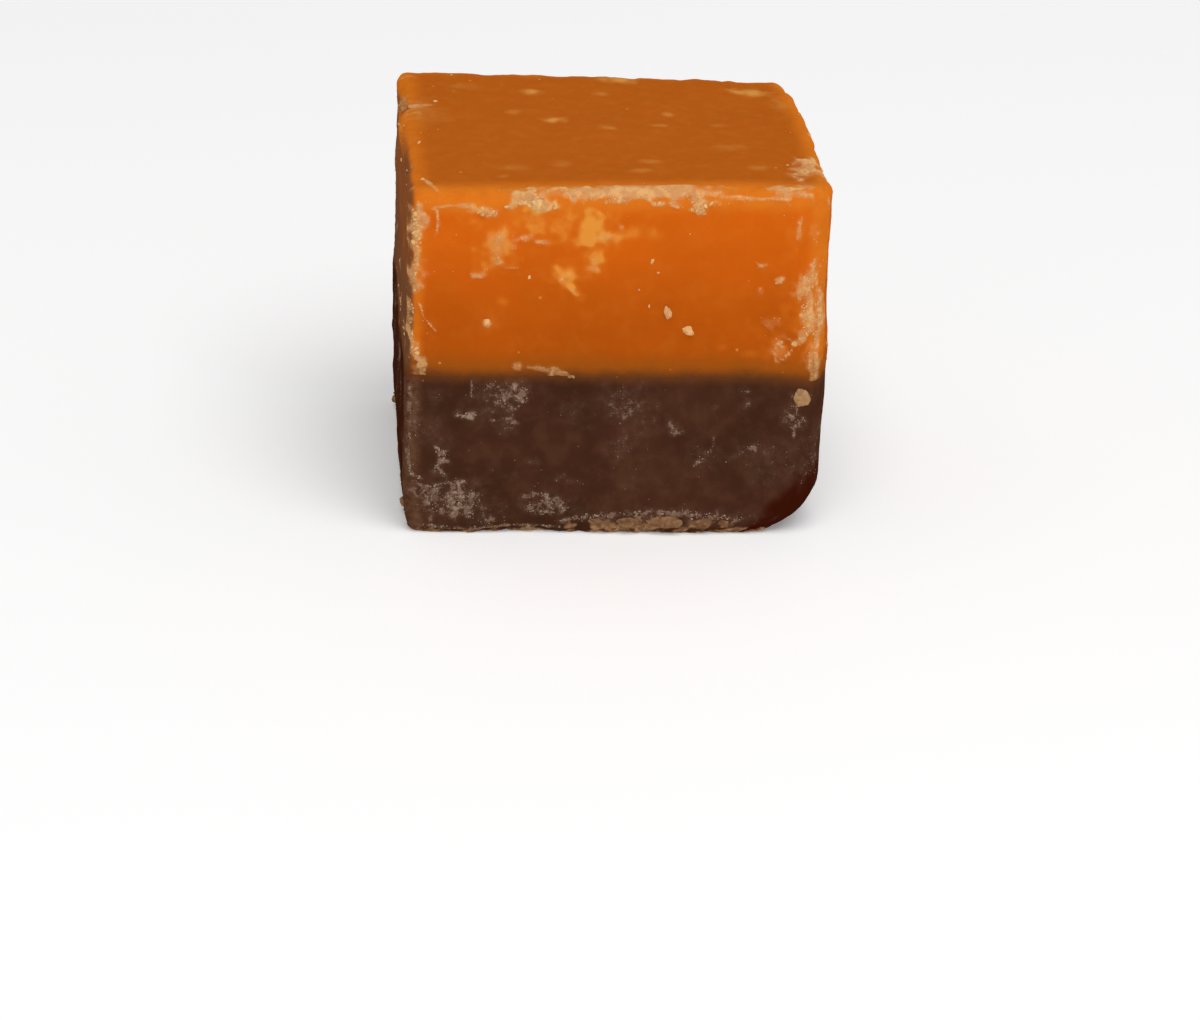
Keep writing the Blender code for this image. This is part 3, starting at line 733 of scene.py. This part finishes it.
def orange_material(colours):
    """Waxy orange fudge, browner low down and painted darker and duller on top as shade and sheen, with
    amber rims as a painted highlight, painted shade on the left side, pale paste and dry crust.
    """
    shade = Shade("orange_fudge")
    above, dry = shade.mask("above_seam"), shade.mask("crust")
    cloud = shade.noise(0.006)
    fine = shade.noise(0.0005, detail=4.0, roughness=0.65)
    grain = shade.noise(0.00016, detail=2.0)

    lift = shade.plus(shade.between(above, 1.0, 12.0), shade.times(shade.between(cloud, 0.35, 0.65), 0.16))
    lift = shade.math("SUBTRACT", lift, 0.08, clamp=True)
    shade.colour = shade.mix(lift, scaled(colours.orange, 0.82), scaled(colours.orange, 1.2))
    on_top = shade.between(above, 12.55, 12.95)
    # Painted shade and sheen: the top is coloured darker and greyer than the front.
    shade.paint(on_top, colours.shaded_top_orange)
    shade.paint(shade.between(shade.noise(0.0011, detail=3.0), 0.42, 0.72), colours.pale, 0.06)
    # Painted highlight: the amber rims.
    amber = shade.between(shade.noise(0.001), 0.3, 0.6, 0.75, 1.0)
    shade.paint(shade.times(shade.mask("amber"), amber), colours.amber)

    low = shade.swayed(above, shade.noise(0.0016), 0.6)
    shade.paint(shade.between(low, 2.2, 0.6), colours.low_amber)
    # Painted shade on the left side: dark brown above, going over to the dusty rim colour lower down.
    smear = shade.between(shade.swayed(above, cloud, 9.0), 9.0, 2.5, 0.0, 0.85)
    shade.paint(shade.mask("left"), shade.mix(smear, colours.left_side_shade, colours.dust), 0.95)
    shade.paint(shade.between(low, 0.85, -0.1), colours.seam)

    wisps = shade.noise(0.0009, detail=4.0, roughness=0.6, stretch=(1.0, 1.0, 0.7), distortion=0.25)
    veil = shade.times(shade.mask("pale"), shade.between(wisps, 0.3, 0.68, 0.68, 1.2))
    paste = shade.mix(shade.between(veil, 0.3, 0.9), colours.pale_edge, colours.pale)
    paste = shade.mix(on_top, paste, colours.top_pale)
    shade.paint(shade.times(veil, 0.95, clamp=True), paste)

    crust = shade.grainy(dry, fine, 1.7, 0.36, 0.85, 0.02, 0.3)
    tints = shade.noise(0.0006, detail=3.0, roughness=0.6)
    crust_colour = shade.mix(shade.between(tints, 0.42, 0.6), colours.crust, colours.crumb)
    pits = shade.times(shade.between(shade.noise(0.0003, detail=2.0), 0.52, 0.68), 0.55)
    crust_colour = shade.mix(pits, crust_colour, colours.pit)
    film = shade.between(dry, 0.1, 1.0, 0.0, 0.6)
    shade.paint(shade.math("MAXIMUM", shade.times(crust, 0.85), film), crust_colour)

    specks = shade.times(shade.specks(0.0013, 0.08, 0.1), 0.6)
    motes = shade.times(shade.specks(0.0007, 0.06, 0.11), 0.4)
    shade.paint(shade.math("MAXIMUM", specks, motes), colours.pale)
    glow = (0.22, (1.0, 0.35, 0.08), 0.001)
    return shade.finish_layer((cloud, fine, grain), crust, 0.44, (0.0018, 0.00009), glow)


def chocolate_material(colours):
    """Dense chocolate fudge with a satin cut face, greyer rims, a crusty foot, granular sugar bloom, and
    painted shade on its left side and under the heel.
    """
    shade = Shade("chocolate_fudge")
    cloud = shade.noise(0.005)
    fine = shade.noise(0.00042, detail=4.0, roughness=0.7)
    grain = shade.noise(0.00015, detail=2.0)
    dark, light = scaled(colours.chocolate, 0.88), scaled(colours.chocolate, 1.14)
    shade.colour = shade.mix(shade.between(cloud, 0.35, 0.65), dark, light)
    clouds = shade.noise(0.0013, detail=4.0, roughness=0.6)
    shade.paint(shade.between(clouds, 0.42, 0.7, 0.0, 0.22), colours.dust)
    # Painted shade: the left side and, nearly fully, the heel are darkened with the heel's shade colour.
    shade.paint(shade.mask("left"), colours.heel, 0.6)
    shade.paint(shade.mask("heel"), colours.heel, 0.95)
    shade.paint(shade.times(shade.mask("amber"), shade.between(fine, 0.35, 0.6, 0.35, 0.95)), colours.dust)
    above = shade.swayed(shade.mask("above_seam"), shade.noise(0.0016), 0.7)
    shade.paint(shade.between(above, -0.75, 0.25), colours.seam)

    bloom = shade.mask("bloom")
    shade.paint(shade.times(bloom, shade.between(fine, 0.35, 0.65, 0.05, 0.32)), colours.bloom)
    frost = shade.grainy(bloom, fine, 2.6, 0.66, 1.0, 0.02, 0.25)
    shade.paint(frost, colours.bloom, 0.7)
    sparks = shade.grainy(bloom, shade.noise(0.00022), 3.0, 0.95, 1.3, 0.05, 0.3)
    shade.paint(sparks, colours.grain, 0.8)
    dots = shade.math("MAXIMUM", shade.specks(0.0008, 0.1, 0.11), shade.specks(0.0004, 0.05, 0.15))
    shade.paint(dots, colours.bloom, 0.5)
    foot = shade.grainy(shade.mask("lip"), fine, 1.2, 0.35, 0.85, 0.02, 0.3)
    shade.paint(foot, shade.mix(shade.between(shade.noise(0.0006), 0.4, 0.7), colours.lip, colours.tan))
    glow = (0.08, (1.0, 0.5, 0.3), 0.0004)
    return shade.finish_layer((cloud, fine, grain), frost, 0.46, (0.0016, 0.00008), glow)


def crumb_material(name, pale, dull, orange, weight, low_stain=None):
    """Dry crumbs, each with its own tone between pale and dull, stained by the fudge and at the seam."""
    shade = Shade(name)
    fine = shade.noise(0.0003, detail=3.0)
    tone = shade.mask("tone")
    shade.colour = shade.mix(tone, pale, dull)
    shade.paint(shade.between(shade.noise(0.0007), 0.4, 0.7), orange, 0.45)
    sheen = shade.times(shade.between(fine, 0.35, 0.7), shade.between(tone, 0.0, 1.0, 1.0, 0.4))
    shade.paint(sheen, tuple(min(1.0, part) for part in scaled(pale, 1.15)))
    if low_stain:
        height, stain_colour = low_stain
        up = shade.add("ShaderNodeSeparateXYZ", {0: shade.place}).outputs[2]
        shade.paint(shade.between(up, height + 2 * MM, height, 0.0, 0.55), stain_colour)
    rough = shade.between(fine, 0.3, 0.7, 0.62, 0.85)
    return shade.finish_fudge(rough, shade.bump(fine, 0.00004, 0.7), weight, (1.0, 0.5, 0.2), 0.0003)


def rough_lump(form, crumb, detail, draw, roughness, breaks):
    """A crumb as broken off: a round lump cut by a few random planes, with knobs on it."""
    place, normal, spin, half_sizes, tone = crumb
    turn = Vector((0, 0, 1)).rotation_difference(Vector(normal)).to_matrix() @ Matrix.Rotation(spin, 3, "Z")
    shape = (turn @ Matrix.Diagonal(half_sizes)).to_4x4()
    lump = bmesh.ops.create_icosphere(form, subdivisions=detail, radius=1.0)["verts"]
    round_points = np.array([corner.co[:] for corner in lump])
    planes = draw.normal(size=(CRUMB_BREAKS, 3))
    planes /= np.linalg.norm(planes, axis=1)[:, None]
    depths = draw.uniform(*breaks, CRUMB_BREAKS)
    reach = (depths / np.maximum(round_points @ planes.T, depths)).min(axis=1)
    start = Vector(draw.uniform(-90, 90, 3))
    tones = form.verts.layers.float["tone"]
    for corner, kept in zip(lump, reach.tolist()):
        knobs = noise.noise(corner.co * 1.3 + start) + 0.5 * noise.noise(corner.co * 3.1 + start)
        corner.co *= kept * (1 + roughness * knobs)
        corner[tones] = min(max(tone, 0.0), 1.0)
    bmesh.ops.transform(form, matrix=Matrix.Translation(place) @ shape, verts=lump)
    for corner in lump:
        corner.co.z = max(corner.co.z, FLOOR_CLEAR)


def crumb_mesh(name, crumbs, detail, draw, roughness, breaks):
    """One joined mesh of rough lumps. Each crumb is: place, way out, spin, three half sizes and a tone."""
    whole = bmesh.new()
    for start in range(0, len(crumbs), CRUMBS_AT_ONCE):
        form = bmesh.new()
        form.verts.layers.float.new("tone")
        for crumb in crumbs[start : start + CRUMBS_AT_ONCE]:
            rough_lump(form, crumb, detail, draw, roughness, breaks)
        some = bpy.data.meshes.new("some crumbs")
        form.to_mesh(some)
        form.free()
        whole.from_mesh(some)
        bpy.data.meshes.remove(some)
    mesh = bpy.data.meshes.new(name)
    whole.to_mesh(mesh)
    whole.free()
    return mesh


def link_crumbs(name, crumbs, detail, draw, roughness, material, breaks=BREAK_DEPTHS):
    link_piece(crumb_mesh(name, crumbs, detail, draw, roughness, breaks), name, material)


def read_vertices(mesh, what):
    values = np.zeros(len(mesh.vertices) * 3, np.float32)
    mesh.vertices.foreach_get(what, values)
    return values.reshape(-1, 3).astype(float)


class Skin:
    """A finished layer's surface, to set crumbs on."""

    def __init__(self, name):
        mesh = bpy.data.objects[name].data
        self.points = read_vertices(mesh, "co")
        self.normals = read_vertices(mesh, "normal")
        self.straight = np.stack([read_mask(mesh, f"straight_{axis}") for axis in "xyz"], axis=1)
        self.masks = {key: read_mask(mesh, key) for key in ("crust", "bloom", "rim", "above_seam")}
        faces = [face.vertices[:] for face in mesh.polygons]
        self.tree = BVHTree.FromPolygons(self.points.tolist(), faces)

    def at(self, guess):
        place, normal, _, _ = self.tree.find_nearest(Vector(guess))
        return np.array(place), np.array(normal)

    def front(self, across, up, sizes):
        """The place on the front for straight coordinates in millimetres."""
        return self.on_straight(across * MM, -sizes.depth / 2, up * MM, sizes)

    def top(self, across, along, sizes):
        """The place on the top for straight coordinates in millimetres."""
        return self.on_straight(across * MM, along * MM, sizes.height, sizes)

    def on_straight(self, x, y, z, sizes):
        return self.at(hand_cut(np.array([[x, y, z]]), sizes)[0] + TO_ORIGIN)


def trail_crumbs(skin, trails, sizes, draw):
    made = []
    for points, half_width, density, size, tone in trails:
        spread = half_width * TRAIL_SPREAD
        for start, end in zip(points[:-1], points[1:]):
            run = math.hypot(end[0] - start[0], end[1] - start[1])
            for _ in range(max(1, round(run * density))):
                share = draw.uniform()
                across = start[0] + (end[0] - start[0]) * share + draw.normal(0, spread)
                up = start[1] + (end[1] - start[1]) * share + draw.normal(0, spread)
                place, normal = skin.front(across, up, sizes)
                half = size * MM * (0.35 + 1.0 * draw.uniform() ** 2)
                halves = (half, half * draw.uniform(0.5, 1.0), half * draw.uniform(0.35, 0.6))
                tilted = normal + draw.normal(0, CRUMB_TILT, 3)
                place = place - normal * halves[2] * CRUMB_SINK
                spin = draw.uniform(0, FULL_TURN)
                made.append((place, tilted, spin, halves, tone + draw.uniform(-0.4, 0.4)))
    return made


def single_crumbs(find, listed, sizes):
    """Crumbs at listed places, where find gives the place on a face and its way out."""
    made = []
    for across, up, half_across, half_up, half_out, turn, tone in listed:
        place, normal = find(across, up, sizes)
        flat = Vector((0, 0, 1)).rotation_difference(Vector(normal)).to_matrix()
        level = flat.inverted() @ Vector((1, 0, 0))
        spin = math.atan2(level.y, level.x) + math.radians(turn)
        halves = (half_across * MM, half_up * MM, half_out * MM)
        made.append((place, normal, spin, halves, tone))
    return made


def scattered_crumbs(skin, chances, count, sizes_mm, tone, draw):
    """Crumbs on points of the skin, drawn by the chance that each point has."""
    chances = chances / chances.sum()
    smallest, largest = sizes_mm
    made = []
    for index in draw.choice(len(chances), count, p=chances):
        half = (smallest + (largest - smallest) * draw.uniform() ** 2) * MM
        halves = (half, half * draw.uniform(0.55, 1.0), half * draw.uniform(0.35, 0.7))
        place = skin.points[index] - skin.normals[index] * halves[2] * CRUMB_SINK
        tilted = skin.normals[index] + draw.normal(0, CRUMB_TILT, 3)
        spin = draw.uniform(0, FULL_TURN)
        made.append((place, tilted, spin, halves, tone + draw.uniform(-0.35, 0.35)))
    return made


def settings(context, step):
    """The sizes, the colours and the random draws of one step."""
    sizes = context.scene.fudge_sizes
    return sizes, context.scene.fudge_colours, np.random.default_rng(sizes.seed + step)


class FUDGE_OT_layers(bpy.types.Operator):
    """Build the orange and the chocolate layer from one straight block, cut as by hand"""

    bl_idname = "fudge.layers"
    bl_label = "Two layers"

    def execute(self, context):
        sizes, colours = context.scene.fudge_sizes, context.scene.fudge_colours
        orange = layer_mesh("orange_fudge", sizes, sizes.seam_height, sizes.height)
        link_piece(orange, "orange_fudge", orange_material(colours), "orange_layer")
        chocolate = layer_mesh("chocolate_fudge", sizes, 0.0, sizes.seam_height)
        material = chocolate_material(colours)
        link_piece(chocolate, "chocolate_fudge", material, "chocolate_layer")
        return {"FINISHED"}


class FUDGE_OT_orange_crumbs(bpy.types.Operator):
    """Set pale crumbs and flakes on the rims and faces of the orange layer"""

    bl_idname = "fudge.orange_crumbs"
    bl_label = "Crumbs on the orange"

    def execute(self, context):
        sizes, colours, draw = settings(context, 1)
        slot = "orange_fudge"
        skin = Skin(slot)
        stain = (sizes.seam_height, tuple(colours.seam))
        pale, dull = colours.crumb, colours.crumb_dull
        material = crumb_material("pale_crumb", pale, dull, colours.pale, 0.25, stain)
        flakes = single_crumbs(skin.front, FRONT_CRUMBS, sizes)
        link_crumbs("large_crumbs", flakes, 4, draw, 0.3, material)
        # Partly their own brown, partly painted shade: the crumbs on the top's left edge are coloured dark
        # brown.
        brown = crumb_material("brown_crumb", dull, colours.crumb_brown_and_shade, colours.shaded_top_orange, 0.3)
        flakes = single_crumbs(skin.top, TOP_CRUMBS, sizes)
        link_crumbs("brown_crumbs", flakes, 4, draw, 0.3, brown, SOFT_BREAK_DEPTHS)
        crumbs = trail_crumbs(skin, ORANGE_TRAILS, sizes, draw)
        hidden = (skin.straight[:, 1] > -sizes.depth / 2 + 0.002).astype(float)
        above, rim, dry = (skin.masks[key] for key in ("above_seam", "rim", "crust"))
        on_top = ease((above - 12.4) / 0.5)
        sides = above > 0.3
        chances = (dry**2 + 0.02 * rim) * sides * hidden * (1 - 0.9 * on_top)
        crumbs += scattered_crumbs(skin, chances + 1e-9, 200, (0.07, 0.26), 0.45, draw)
        link_crumbs("orange_crumbs", crumbs, 2, draw, 0.35, material)
        chances = (dry**2 + 0.06 * rim + 0.002) * sides * (1 - 0.8 * on_top)
        grains = scattered_crumbs(skin, chances, sizes.loose_grains, (0.025, 0.075), 0.5, draw)
        link_crumbs("orange_grains", grains, 1, draw, 0.3, material)
        return {"FINISHED"}


class FUDGE_OT_chocolate_crumbs(bpy.types.Operator):
    """Set bloom grains and small crumbs on the chocolate layer"""

    bl_idname = "fudge.chocolate_crumbs"
    bl_label = "Crumbs on the chocolate"

    def execute(self, context):
        sizes, colours, draw = settings(context, 2)
        skin = Skin("chocolate_fudge")
        material = crumb_material("bloom_grain", colours.grain, colours.bloom, colours.chocolate, 0.1)
        crumbs = trail_crumbs(skin, CHOCOLATE_TRAILS, sizes, draw)
        sides = (skin.masks["above_seam"] < -0.2) * (skin.straight[:, 2] > 0.0002)
        chances = (skin.masks["bloom"] ** 2 + 0.002) * sides
        crumbs += scattered_crumbs(skin, chances, sizes.loose_grains, (0.025, 0.075), 0.5, draw)
        link_crumbs("bloom_grains", crumbs, 1, draw, 0.3, material)
        return {"FINISHED"}


class FUDGE_OT_base_lip(bpy.types.Operator):
    """Set the crusty brown lip along the bottom edges"""

    bl_idname = "fudge.base_lip"
    bl_label = "Crusty base lip"

    def execute(self, context):
        sizes, colours, draw = settings(context, 3)
        skin = Skin("chocolate_fudge")
        material = crumb_material("base_lip", colours.tan, colours.lip, colours.chocolate, 0.1)
        height = skin.points[:, 2]
        low = np.exp(-(((height - 0.0005) / 0.00035) ** 2)) * (skin.normals[:, 2] > -0.8)
        low *= skin.straight[:, 1] > -sizes.depth / 2 + 0.0015
        patchy = ease(0.6 + wave(skin.points, LIP_GAPS))
        lumps = scattered_crumbs(skin, low * patchy + 1e-12, sizes.base_lumps, (0.15, 0.60), 0.7, draw)
        raised = []
        for place, normal, spin, halves, tone in lumps:
            place[2] = max(place[2], max(halves[:2]) + 0.00003)
            raised.append((place, normal, spin, halves, tone))
        link_crumbs("base_lip", raised, 2, draw, 0.35, material)
        lumps = single_crumbs(skin.front, CHOCOLATE_LUMPS, sizes)
        link_crumbs("front_lumps", lumps, 4, draw, 0.25, material, SOFT_BREAK_DEPTHS)
        return {"FINISHED"}


# The camera, fitted to the corners of the cube in the photo: pixels, metres and degrees.
FOCAL_PIXELS = 5316
PHOTO_SIZE = (1200, 1020)
SENSOR_MM = 36.0
CAMERA_DISTANCE = 0.3608
CAMERA_PITCH = 22.44
CAMERA_SWING = 4.04
CAMERA_ROLL = 1.88
CUBE_IN_VIEW = (-0.00008, 0.01418)
AIM_HEIGHT = 0.012


def look_through_camera():
    """The camera at the photo's viewing angle, with the cube above the middle of the view as there."""
    pitch, swing, roll = (math.radians(turn) for turn in (CAMERA_PITCH, CAMERA_SWING, CAMERA_ROLL))
    forward = Vector((0, math.cos(pitch), -math.sin(pitch)))
    right = Vector((1, 0, 0))
    up = Vector((0, math.sin(pitch), math.cos(pitch)))
    place = -CAMERA_DISTANCE * forward - CUBE_IN_VIEW[0] * right - CUBE_IN_VIEW[1] * up
    across = math.cos(roll) * right + math.sin(roll) * up
    above = -math.sin(roll) * right + math.cos(roll) * up
    axes = Matrix((across, above, -forward)).transposed()
    turned = Matrix.Rotation(-swing, 3, "Z")
    data = bpy.data.cameras.new("view")
    data.sensor_width = SENSOR_MM
    data.lens = FOCAL_PIXELS / PHOTO_SIZE[0] * SENSOR_MM
    data.clip_start = 0.01
    made = bpy.data.objects.new("view", data)
    place = turned @ place + Vector((0, 0, AIM_HEIGHT))
    made.matrix_world = Matrix.Translation(place) @ (turned @ axes).to_4x4()
    bpy.context.scene.collection.objects.link(made)
    bpy.context.scene.camera = made


def soft_light(name, place, size, power):
    data = bpy.data.lights.new(name, "AREA")
    data.shape = "DISK"
    data.size = size
    data.energy = power
    made = bpy.data.objects.new(name, data)
    made.location = place
    aim = Vector((0, 0, AIM_HEIGHT)) - Vector(place)
    made.rotation_euler = aim.to_track_quat("-Z", "Y").to_euler()
    bpy.context.scene.collection.objects.link(made)


class FUDGE_OT_stage(bpy.types.Operator):
    """Lay the pale floor, set the soft lights and place the camera"""

    bl_idname = "fudge.stage"
    bl_label = "Floor, light and camera"

    def execute(self, context):
        form = bmesh.new()
        bmesh.ops.create_grid(form, x_segments=1, y_segments=1, size=3.0)
        mesh = bpy.data.meshes.new("floor")
        form.to_mesh(mesh)
        form.free()
        shade = Shade("pale_floor")
        cloud = shade.between(shade.noise(0.4), 0.3, 0.7)
        shade.colour = shade.mix(cloud, (0.92, 0.92, 0.92), (0.94, 0.94, 0.94))
        glow = {"Emission_Color": (1, 1, 1, 1), "Emission_Strength": 0.18}
        mesh.materials.append(shade.finish(0.7, shade.bump(cloud, 0.0001, 0.1), **glow))
        floor = bpy.data.objects.new("floor", mesh)
        context.scene.collection.objects.link(floor)
        soft_light("key", (0.12, -0.45, 0.86), 0.9, 7.0)
        world = bpy.data.worlds.new("studio")
        world.use_nodes = True
        background = world.node_tree.nodes["Background"].inputs
        background["Color"].default_value = (1, 1, 1, 1)
        background["Strength"].default_value = 0.33
        context.scene.world = world
        context.scene.view_settings.view_transform = "Standard"
        look_through_camera()
        return {"FINISHED"}


OPERATORS = (
    FUDGE_OT_layers,
    FUDGE_OT_orange_crumbs,
    FUDGE_OT_chocolate_crumbs,
    FUDGE_OT_base_lip,
    FUDGE_OT_stage,
)


class FUDGE_PT_panel(bpy.types.Panel):
    """Lists the steps that build the fudge."""

    bl_idname = "FUDGE_PT_panel"
    bl_label = "Two-layer fudge"
    bl_space_type = "VIEW_3D"
    bl_region_type = "UI"
    bl_category = "Fudge"

    def draw(self, context):
        for group in (context.scene.fudge_sizes, context.scene.fudge_colours):
            for name in group.__annotations__:
                self.layout.prop(group, name)
        for operator in OPERATORS:
            self.layout.operator(operator.bl_idname)


CLASSES = (FudgeSizes, FudgeColours, *OPERATORS, FUDGE_PT_panel)


def register():
    for made in CLASSES:
        bpy.utils.register_class(made)
    bpy.types.Scene.fudge_sizes = PointerProperty(type=FudgeSizes)
    bpy.types.Scene.fudge_colours = PointerProperty(type=FudgeColours)


def unregister():
    del bpy.types.Scene.fudge_sizes
    del bpy.types.Scene.fudge_colours
    for made in reversed(CLASSES):
        bpy.utils.unregister_class(made)


def main():
    register()
    bpy.ops.fudge.layers()
    bpy.ops.fudge.orange_crumbs()
    bpy.ops.fudge.chocolate_crumbs()
    bpy.ops.fudge.base_lip()
    bpy.ops.fudge.stage()


if __name__ == "__main__":
    main()
